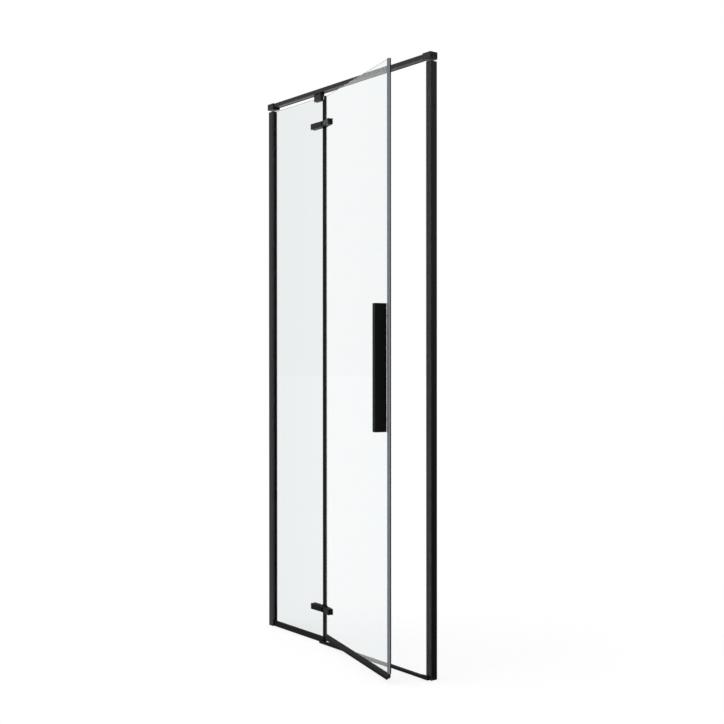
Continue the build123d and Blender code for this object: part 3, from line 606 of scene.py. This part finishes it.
class SHOWERDOOR_OT_free_edge_strip(bpy.types.Operator):
    """Models the smoky channel strip on the door's free edge and the magnet in its corner"""
    bl_idname = "showerdoor.free_edge_strip"
    bl_label = "Free edge strip"

    def execute(self, context):
        bottom = DOOR_PROFILE_TOP + GAP
        length = DOOR_GLASS_TOP - bottom
        start_section(DOOR_GLASS_END, DOOR_END, -4.5, 0.8, bottom)
        bpy.ops.mesh.select_all(action="SELECT")
        bpy.ops.mesh.bisect(plane_co=(527.4 * MM, 0, 0), plane_no=(1, 0, 0))
        bpy.ops.mesh.select_all(action="SELECT")
        bpy.ops.mesh.bisect(plane_co=(0, -3.0 * MM, 0), plane_no=(0, 1, 0))
        grow_section((DOOR_GLASS_END + 527.4) / 2, 0.8, 0, 2.2)
        grow_section((DOOR_GLASS_END + 527.4) / 2, 3.0, 0, 1.5)
        for sign in (-1, 1):
            middle = sign * 3.75
            grow_section(DOOR_GLASS_END, middle, -5.6, 0)
            grow_section(DOOR_GLASS_END - 5.6, middle, -1.4, -sign * 0.3, 0.6)
        draw_out(length)
        round_edges(0.3, 2, 50)
        strip = move_to(context.object, DOOR)
        hand_over(strip, "free_edge_channel_strip", "door", "grey_pvc", "smoky_pvc", "door_edge_seal")
        # Painted light: the strip's outer face takes a lighter copy of its finish.
        self.paint_light_on_nose(strip)
        start_section(527.4, DOOR_END, 0.8, 4.5, bottom)
        draw_out(length)
        round_edges(0.4, 3, 50)
        magnet = move_to(context.object, DOOR)
        hand_over(magnet, "free_edge_magnet_bar", "door", "magnetic_rubber", "magnetic_rubber",
                  "door_edge_magnet")
        return {"FINISHED"}


    def paint_light_on_nose(self, strip):
        """Paints light on the strip's outer face, which points along the door, with the lighter copy of its finish."""
        strip.data.materials.append(MATERIALS["milky_pvc"])
        outward = DOOR.to_3x3() @ Vector((1, 0, 0))
        for face in strip.data.polygons:
            if face.normal.dot(outward) > 0.5 and (DOOR.inverted() @ face.center).x > DOOR_GLASS_END * MM:
                face.material_index = 1


class SHOWERDOOR_OT_strike(bpy.types.Operator):
    """Models the strip on the right post that the door closes on, and its magnet"""
    bl_idname = "showerdoor.strike"
    bl_label = "Strike strip"

    def execute(self, context):
        bottom = 8.3
        length = DOOR_GLASS_TOP - bottom
        start_section(423.2, 425.0, -4.0, 4.0, bottom)
        split_edge(423.2, -4.0, 4.0, (-2.2, 2.2))
        split_edge(423.2, -4.0, 4.0, (-2.5, 2.5))
        for sign in (-1, 1):
            grow_section(423.2, sign * 2.35, -1.6, 0)
            grow_section(423.2, sign * 3.25, -1.6, 0)
        grow_section(425.0, 0, 1.8, 0)
        for sign in (-1, 1):
            grow_section(425.0, sign * 2.35, 1.8, 0)
        grow_section(426.8, 0, 1.5, 0)
        for sign in (-1, 1):
            grow_section(426.8, sign * 2.35, 1.5, 0)
            grow_section(427.55, sign * 2.5, 0, sign * 1.5)
        draw_out(length)
        round_edges(0.25, 2, 50)
        hand_over(context.object, "strike_holder_strip", "frame", "black_pvc", "black_pvc", "strike_strip")
        start_section(421.6, 423.2, -2.2, 2.2, bottom)
        draw_out(length)
        round_edges(0.3, 3, 50)
        hand_over(context.object, "strike_magnet_bar", "frame", "magnetic_rubber", "magnetic_rubber",
                  "strike_magnet")
        return {"FINISHED"}


class SHOWERDOOR_OT_drip_strip(bpy.types.Operator):
    """Models the soft strip under the door, whose two thin fins curve outwards"""
    bl_idname = "showerdoor.drip_strip"
    bl_label = "Drip strip"

    def execute(self, context):
        sizes = context.scene.shower_door_sizes
        start_section(-4.5, 4.5, 19.4, 22.0)
        for x in (-2.6, -0.4, 0.4, 2.6):
            bpy.ops.mesh.select_all(action="SELECT")
            bpy.ops.mesh.bisect(plane_co=(x * MM, 0, 0), plane_no=(1, 0, 0))
        draw_out(DOOR_GLASS_END - 4.4)
        body = context.object
        fins = [self.fin(sign, sizes.drip_fin_tip / MM) for sign in (-1, 1)]
        strip = join([body] + fins)
        round_edges(0.2, 2, 50)
        strip = move_to(context.object, DOOR @ LENGTHWISE)
        hand_over(strip, "door_drip_strip", "door", "black_rubber", "black_rubber", "door_drip_seal")
        return {"FINISHED"}

    def fin(self, sign, tip):
        """One fin, from its root under the body down to a thin tip."""
        start_section(sign * 0.4, sign * 2.6, 19.0, 19.6)
        x, y, width = sign * 1.5, 19.0, 2.2
        for dx, dy, taper in ((1.0, -1.6, 0.86), (1.4, -1.6, 0.86), (1.7, -1.2, 0.86), (1.1, -0.6, tip / 1.4)):
            grow_section(x, y, sign * dx, dy, taper)
            x, y, width = x + sign * dx, y + dy, width * taper
        bpy.ops.mesh.select_all(action="SELECT")
        bpy.ops.transform.translate(value=(0, 0, 8.0 * MM))
        draw_out(DOOR_GLASS_END - 4.4 - 8.0)
        return bpy.context.object


class SHOWERDOOR_OT_glazing_rubbers(bpy.types.Operator):
    """Models the U-shaped rubbers in the left post and in the bottom channel"""
    bl_idname = "showerdoor.glazing_rubbers"
    bl_label = "Glazing rubbers"

    def execute(self, context):
        start_section(-438.0, -436.4, -4.6, 4.6)
        split_edge(-436.4, -4.6, 4.6, (-HALF_GLASS, HALF_GLASS))
        for sign in (-1, 1):
            grow_section(-436.4, sign * 3.8, 11.0, 0)
            grow_section(-425.4, sign * 3.8, 1.0, -sign * 0.2, 0.7)
        draw_out(GLASS_TOP)
        round_edges(0.3, 2, 50)
        hand_over(context.object, "left_post_glazing_rubber", "frame", "black_rubber", "black_rubber",
                  "left_post_gasket")
        start_section(-4.6, 4.6, 2.4, 4.0)
        for y in (-HALF_GLASS, HALF_GLASS):
            bpy.ops.mesh.select_all(action="SELECT")
            bpy.ops.mesh.bisect(plane_co=(y * MM, 0, 0), plane_no=(1, 0, 0))
        for sign in (-1, 1):
            grow_section(sign * 3.8, 4.0, 0, 14.6)
            grow_section(sign * 3.8, 18.6, -sign * 0.2, 0.8, 0.7)
        draw_out(308.6)
        round_edges(0.3, 2, 50)
        place = Matrix.Translation((-425.0 * MM, 0, 0)) @ LENGTHWISE
        rubber = move_to(context.object, place)
        hand_over(rubber, "bottom_glazing_rubber", "frame", "black_rubber", "black_rubber",
                  "fixed_bottom_gasket")
        return {"FINISHED"}


class SHOWERDOOR_OT_hinge_pins(bpy.types.Operator):
    """Models the two pivot pins with rounded ends and centre dimples"""
    bl_idname = "showerdoor.hinge_pins"
    bl_label = "Hinge pins"

    def execute(self, context):
        for end, height in HINGE_HEIGHTS.items():
            start("cylinder", vertices=40, radius=3.0 * MM, depth=20.0 * MM,
                  location=(HINGE_X * MM, 0, height * MM))
            pick("faces", lambda m: abs(abs(m.z - height) - 10.0) < 0.01)
            bpy.ops.mesh.inset(thickness=2.2 * MM, use_individual=True)
            for sign in (-1, 1):
                pick("faces", near(HINGE_X, 0, height + sign * 10.0))
                pull(dz=-sign * 0.6)
                bpy.ops.transform.resize(value=(0.1, 0.1, 1), center_override=(
                    HINGE_X * MM, 0, (height + sign * 9.4) * MM))
            round_edges(0.4, 3, 60)
            hand_over(context.object, f"{end}_hinge_pivot_pin", "frame", "stainless_steel", "stainless_steel",
                      f"{end}_hinge_pin")
        return {"FINISHED"}


class SHOWERDOOR_OT_handle(bpy.types.Operator):
    """Models the C-shaped bar handle with all its edges broken"""
    bl_idname = "showerdoor.handle"
    bl_label = "Handle"

    def execute(self, context):
        sizes = context.scene.shower_door_sizes
        start_section(511.0, 514.0, -42.0, -3.5, 773.0)
        for y in (-39.0, -6.5):
            bpy.ops.mesh.select_all(action="SELECT")
            bpy.ops.mesh.bisect(plane_co=(0, y * MM, 0), plane_no=(0, 1, 0))
        for y in (-40.5, -5.0):
            grow_section(511.0, y, -17.0, 0)
        draw_out(396.0)
        bar = context.object
        for height in (811.0, 1131.0):
            start("cylinder", vertices=40, radius=2.53 * MM, depth=5.0 * MM,
                  location=(502.5 * MM, -5.0 * MM, height * MM), rotation=(math.pi / 2, 0, 0))
            cut(bar, context.object)
        round_edges(sizes.handle_rounding / MM, 3, 50)
        bar = move_to(bar, DOOR)
        # Painted shade: the handle takes the darker, duller copy of the powder coat.
        hand_over(bar, "handle_bar", "door", "powder_coated_aluminium", "shaded_powder_coat", "handle")
        return {"FINISHED"}


class SHOWERDOOR_OT_finishes(bpy.types.Operator):
    """Makes the finishes and gives every CAD node its own"""
    bl_idname = "showerdoor.finishes"
    bl_label = "Finishes"

    def execute(self, context):
        make_materials(context.scene.shower_door_colours)
        for material, nodes in FINISHES.items():
            for name in nodes.split():
                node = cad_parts[name]
                node.data.materials.clear()
                node.data.materials.append(MATERIALS[material])
        return {"FINISHED"}


class SHOWERDOOR_OT_stage(bpy.types.Operator):
    """Adds the white floor and surroundings, the lamp and the camera"""
    bl_idname = "showerdoor.stage"
    bl_label = "Stage"

    def execute(self, context):
        studio = context.scene.shower_door_stage
        context.scene.view_settings.view_transform = "Standard"
        self.add_world(context.scene, studio)
        self.add_floor(studio)
        self.add_lamp(studio)
        self.add_flag()
        self.add_camera(context.scene)
        return {"FINISHED"}

    def add_world(self, scene, studio):
        """Light from all around that looks white, and as a row of tall soft boxes in reflections."""
        world = bpy.data.worlds.new("studio")
        scene.world = world
        world.use_nodes = True
        tree = world.node_tree
        tree.nodes.clear()
        path = add_node(tree, "ShaderNodeLightPath").outputs
        toward = add_node(tree, "ShaderNodeTexCoord").outputs["Generated"]
        toward = add_node(tree, "ShaderNodeSeparateXYZ", {"Vector": toward}).outputs
        azimuth = add_node(tree, "ShaderNodeMath", {0: toward["Y"], 1: toward["X"]}, operation="ARCTAN2").outputs[0]
        turns = add_node(tree, "ShaderNodeMath", {
            0: azimuth, 1: SOFT_BOXES, 2: -SOFT_BOXES * math.radians(SOFT_BOX_AZIMUTH)}, operation="MULTIPLY_ADD")
        wave = add_node(tree, "ShaderNodeMath", {0: turns.outputs[0]}, operation="COSINE").outputs[0]
        boxes = add_node(tree, "ShaderNodeMapRange", {
            "Value": wave, "From Min": -1.0, "To Min": studio.between_boxes, "To Max": studio.boxes}).outputs["Result"]
        seen = add_node(tree, "ShaderNodeMath", {0: path["Is Camera Ray"], 1: path["Is Transmission Ray"]},
                        operation="MAXIMUM").outputs[0]
        level = add_node(tree, "ShaderNodeMix", {"Factor": path["Is Glossy Ray"], "A": studio.fill, "B": boxes})
        level = add_node(tree, "ShaderNodeMix", {"Factor": seen, "A": level.outputs["Result"], "B": 1.0})
        sky = add_node(tree, "ShaderNodeBackground", {"Color": linear("#ffffff"), "Strength": level.outputs["Result"]})
        add_node(tree, "ShaderNodeOutputWorld", {"Surface": sky.outputs["Background"]})

    def add_floor(self, studio):
        """A wide pale floor that looks white and keeps the door's shadow. Reflections see the soft boxes in
        its place, so the panes show no horizon."""
        start("circle", vertices=96, radius=60, fill_type="NGON", location=(0, 0, -0.0005))
        bpy.ops.object.mode_set(mode="OBJECT")
        floor = bpy.context.object
        floor.name = "floor"
        tree = new_material("pale_floor")
        path = add_node(tree, "ShaderNodeLightPath").outputs
        seen = add_node(tree, "ShaderNodeMath", {0: path["Is Camera Ray"], 1: path["Is Transmission Ray"]},
                        operation="MAXIMUM").outputs[0]
        glow = add_node(tree, "ShaderNodeMath", {0: seen, 1: studio.floor_glow}, operation="MULTIPLY").outputs[0]
        plain = add_node(tree, "ShaderNodeBsdfDiffuse", {"Color": linear("#959595")})
        lit = add_node(tree, "ShaderNodeEmission", {"Color": linear("#ffffff"), "Strength": glow})
        both = add_node(tree, "ShaderNodeAddShader", {0: plain.outputs[0], 1: lit.outputs[0]})
        add_node(tree, "ShaderNodeOutputMaterial", {"Surface": both.outputs[0]})
        floor.data.materials.append(MATERIALS["pale_floor"])
        floor.visible_glossy = False

    def add_lamp(self, studio):
        """One very soft lamp from the front left."""
        bpy.ops.object.light_add(type="SUN", location=(-3, -4, 4))
        lamp = bpy.context.object
        lamp.name = "soft_front_light"
        lamp.data.energy = studio.lamp
        lamp.data.angle = studio.lamp_softness
        lamp.rotation_euler = Vector((0.45, 0.70, -0.55)).to_track_quat("-Z", "Y").to_euler()
        lamp.visible_glossy = False
        lamp.visible_transmission = False

    def add_flag(self):
        """A dark corner at the right that only reflections see, as a studio's black cloths give; it is
        lighter higher up, and its floor keeps the white floor out of the posts' sides."""
        start("cylinder", vertices=96, radius=6.0, depth=7.0, end_fill_type="TRIFAN", location=(-0.45, 0, 3.502))

        def azimuth_at(middle):
            return math.degrees(math.atan2(middle.y, middle.x + 450))

        pick("faces", lambda m: m.z > 6990 or not (0 if m.z < 100 else -20) < azimuth_at(m) < 75)
        bpy.ops.mesh.delete(type="FACE")
        bpy.ops.object.mode_set(mode="OBJECT")
        flag = bpy.context.object
        flag.name = "dark_flag"
        tree = new_material("dark_flag_cloth")
        place = add_node(tree, "ShaderNodeTexCoord").outputs["Object"]
        place = add_node(tree, "ShaderNodeSeparateXYZ", {"Vector": place}).outputs
        aside = add_node(tree, "ShaderNodeMapRange", {
            "Value": place["Y"], "From Min": 0.5, "From Max": 4.0, "To Min": 0.05}).outputs["Result"]
        glow = add_node(tree, "ShaderNodeMapRange", {
            "Value": place["Z"], "From Max": 3.5, "To Min": 0.02, "To Max": 0.5}).outputs["Result"]
        glow = add_node(tree, "ShaderNodeMath", {0: glow, 1: aside}, operation="MULTIPLY").outputs[0]
        dim = add_node(tree, "ShaderNodeEmission", {"Color": linear("#ffffff"), "Strength": glow})
        add_node(tree, "ShaderNodeOutputMaterial", {"Surface": dim.outputs[0]})
        flag.data.materials.append(MATERIALS["dark_flag_cloth"])
        flag.visible_camera = False
        flag.visible_diffuse = False
        flag.visible_transmission = False
        flag.visible_shadow = False

    def add_camera(self, scene):
        """The camera where the photograph's was."""
        data = bpy.data.cameras.new("camera")
        data.sensor_width = SENSOR_MM
        data.lens = FOCAL_PIXELS / FRAME_PIXELS * SENSOR_MM
        data.clip_start = 0.05
        data.clip_end = 200
        camera = bpy.data.objects.new("camera", data)
        scene.collection.objects.link(camera)
        turn = Matrix((CAMERA_RIGHT, CAMERA_UP, CAMERA_BACK)).transposed()
        camera.matrix_world = Matrix.Translation(CAMERA_PLACE) @ turn.to_4x4()
        scene.camera = camera


class ShowerDoorSizes(bpy.types.PropertyGroup):
    """Sizes of modelled details that a user would change"""
    hinge_screw_socket: bpy.props.FloatProperty(
        name="Hinge screw socket", description="Width across the flats of the hinge screws' sockets",
        default=0.003, subtype="DISTANCE", unit="LENGTH")
    drip_fin_tip: bpy.props.FloatProperty(
        name="Drip fin tip", description="Thickness of the drip strip's fins at their tips",
        default=0.0007, subtype="DISTANCE", unit="LENGTH")
    handle_rounding: bpy.props.FloatProperty(
        name="Handle rounding", description="Radius of the handle's broken edges",
        default=0.0008, subtype="DISTANCE", unit="LENGTH")


class ShowerDoorColours(bpy.types.PropertyGroup):
    """Colours that a user would change"""
    coat: bpy.props.FloatVectorProperty(
        name="Frame coat", description="Powder coat of the frame and the handle",
        default=linear("#1d1d1e")[:3], subtype="COLOR", min=0, max=1)
    hinge_coat: bpy.props.FloatVectorProperty(
        name="Hinge coat", description="Coat of the hinges' plates",
        default=linear("#1e1e1f")[:3], subtype="COLOR", min=0, max=1)
    glass: bpy.props.FloatVectorProperty(
        name="Glass tint", description="What colour the clear glass gives to what is behind it",
        default=linear("#eff2f2")[:3], subtype="COLOR", min=0, max=1)
    edge_strip: bpy.props.FloatVectorProperty(
        name="Free edge strip", description="Smoky plastic on the door's free edge",
        default=linear("#6c6f78")[:3], subtype="COLOR", min=0, max=1)


class ShowerDoorStage(bpy.types.PropertyGroup):
    """Light of the studio"""
    fill: bpy.props.FloatProperty(
        name="Fill", description="Strength of the light from all around", default=0.6, min=0, max=2)
    boxes: bpy.props.FloatProperty(
        name="Soft boxes", description="How bright the soft boxes are in reflections", default=1.22, min=0, max=4)
    between_boxes: bpy.props.FloatProperty(
        name="Between boxes", description="How bright reflections are between two soft boxes",
        default=0.1, min=0, max=1)
    lamp: bpy.props.FloatProperty(
        name="Lamp", description="Strength of the soft front lamp", default=1.2, min=0, max=10)
    lamp_softness: bpy.props.FloatProperty(
        name="Lamp softness", description="Angle that the front lamp fills", default=math.radians(70),
        subtype="ANGLE", unit="ROTATION")
    floor_glow: bpy.props.FloatProperty(
        name="Floor glow", description="How much of its whiteness the floor gives out by itself",
        default=0.78, min=0, max=1)


class SHOWERDOOR_PT_sidebar(bpy.types.Panel):
    """The shower door's tools in the 3D view's sidebar"""
    bl_idname = "SHOWERDOOR_PT_sidebar"
    bl_label = "Shower Door"
    bl_space_type = "VIEW_3D"
    bl_region_type = "UI"
    bl_category = "Shower Door"

    def draw(self, context):
        layout = self.layout
        for group_name, group in GROUPS.items():
            box = layout.box()
            for name in group.__annotations__:
                box.prop(getattr(context.scene, group_name), name)
        for operator in OPERATORS:
            layout.operator(operator.bl_idname)


OPERATORS = (
    SHOWERDOOR_OT_finishes, SHOWERDOOR_OT_hinge_screws, SHOWERDOOR_OT_post_screws, SHOWERDOOR_OT_handle_screws,
    SHOWERDOOR_OT_set_screws, SHOWERDOOR_OT_hinge_pins, SHOWERDOOR_OT_fixed_edge_strip,
    SHOWERDOOR_OT_door_hinge_strip, SHOWERDOOR_OT_free_edge_strip, SHOWERDOOR_OT_strike,
    SHOWERDOOR_OT_drip_strip, SHOWERDOOR_OT_glazing_rubbers, SHOWERDOOR_OT_handle, SHOWERDOOR_OT_stage)
GROUPS = {"shower_door_sizes": ShowerDoorSizes, "shower_door_colours": ShowerDoorColours,
          "shower_door_stage": ShowerDoorStage}


def register():
    """Registers the property groups, the operators and the panel."""
    for cls in tuple(GROUPS.values()) + OPERATORS + (SHOWERDOOR_PT_sidebar,):
        bpy.utils.register_class(cls)
    for name, group in GROUPS.items():
        setattr(bpy.types.Scene, name, bpy.props.PointerProperty(type=group))


def unregister():
    """Takes everything that register added away again."""
    for name in GROUPS:
        delattr(bpy.types.Scene, name)
    for cls in (SHOWERDOOR_PT_sidebar,) + OPERATORS[::-1] + tuple(GROUPS.values()):
        bpy.utils.unregister_class(cls)


def main():
    """Makes the whole scene, one operator after the other."""
    register()
    for operator in OPERATORS:
        group, name = operator.bl_idname.split(".")
        getattr(getattr(bpy.ops, group), name)()


if __name__ == "__main__":
    main()
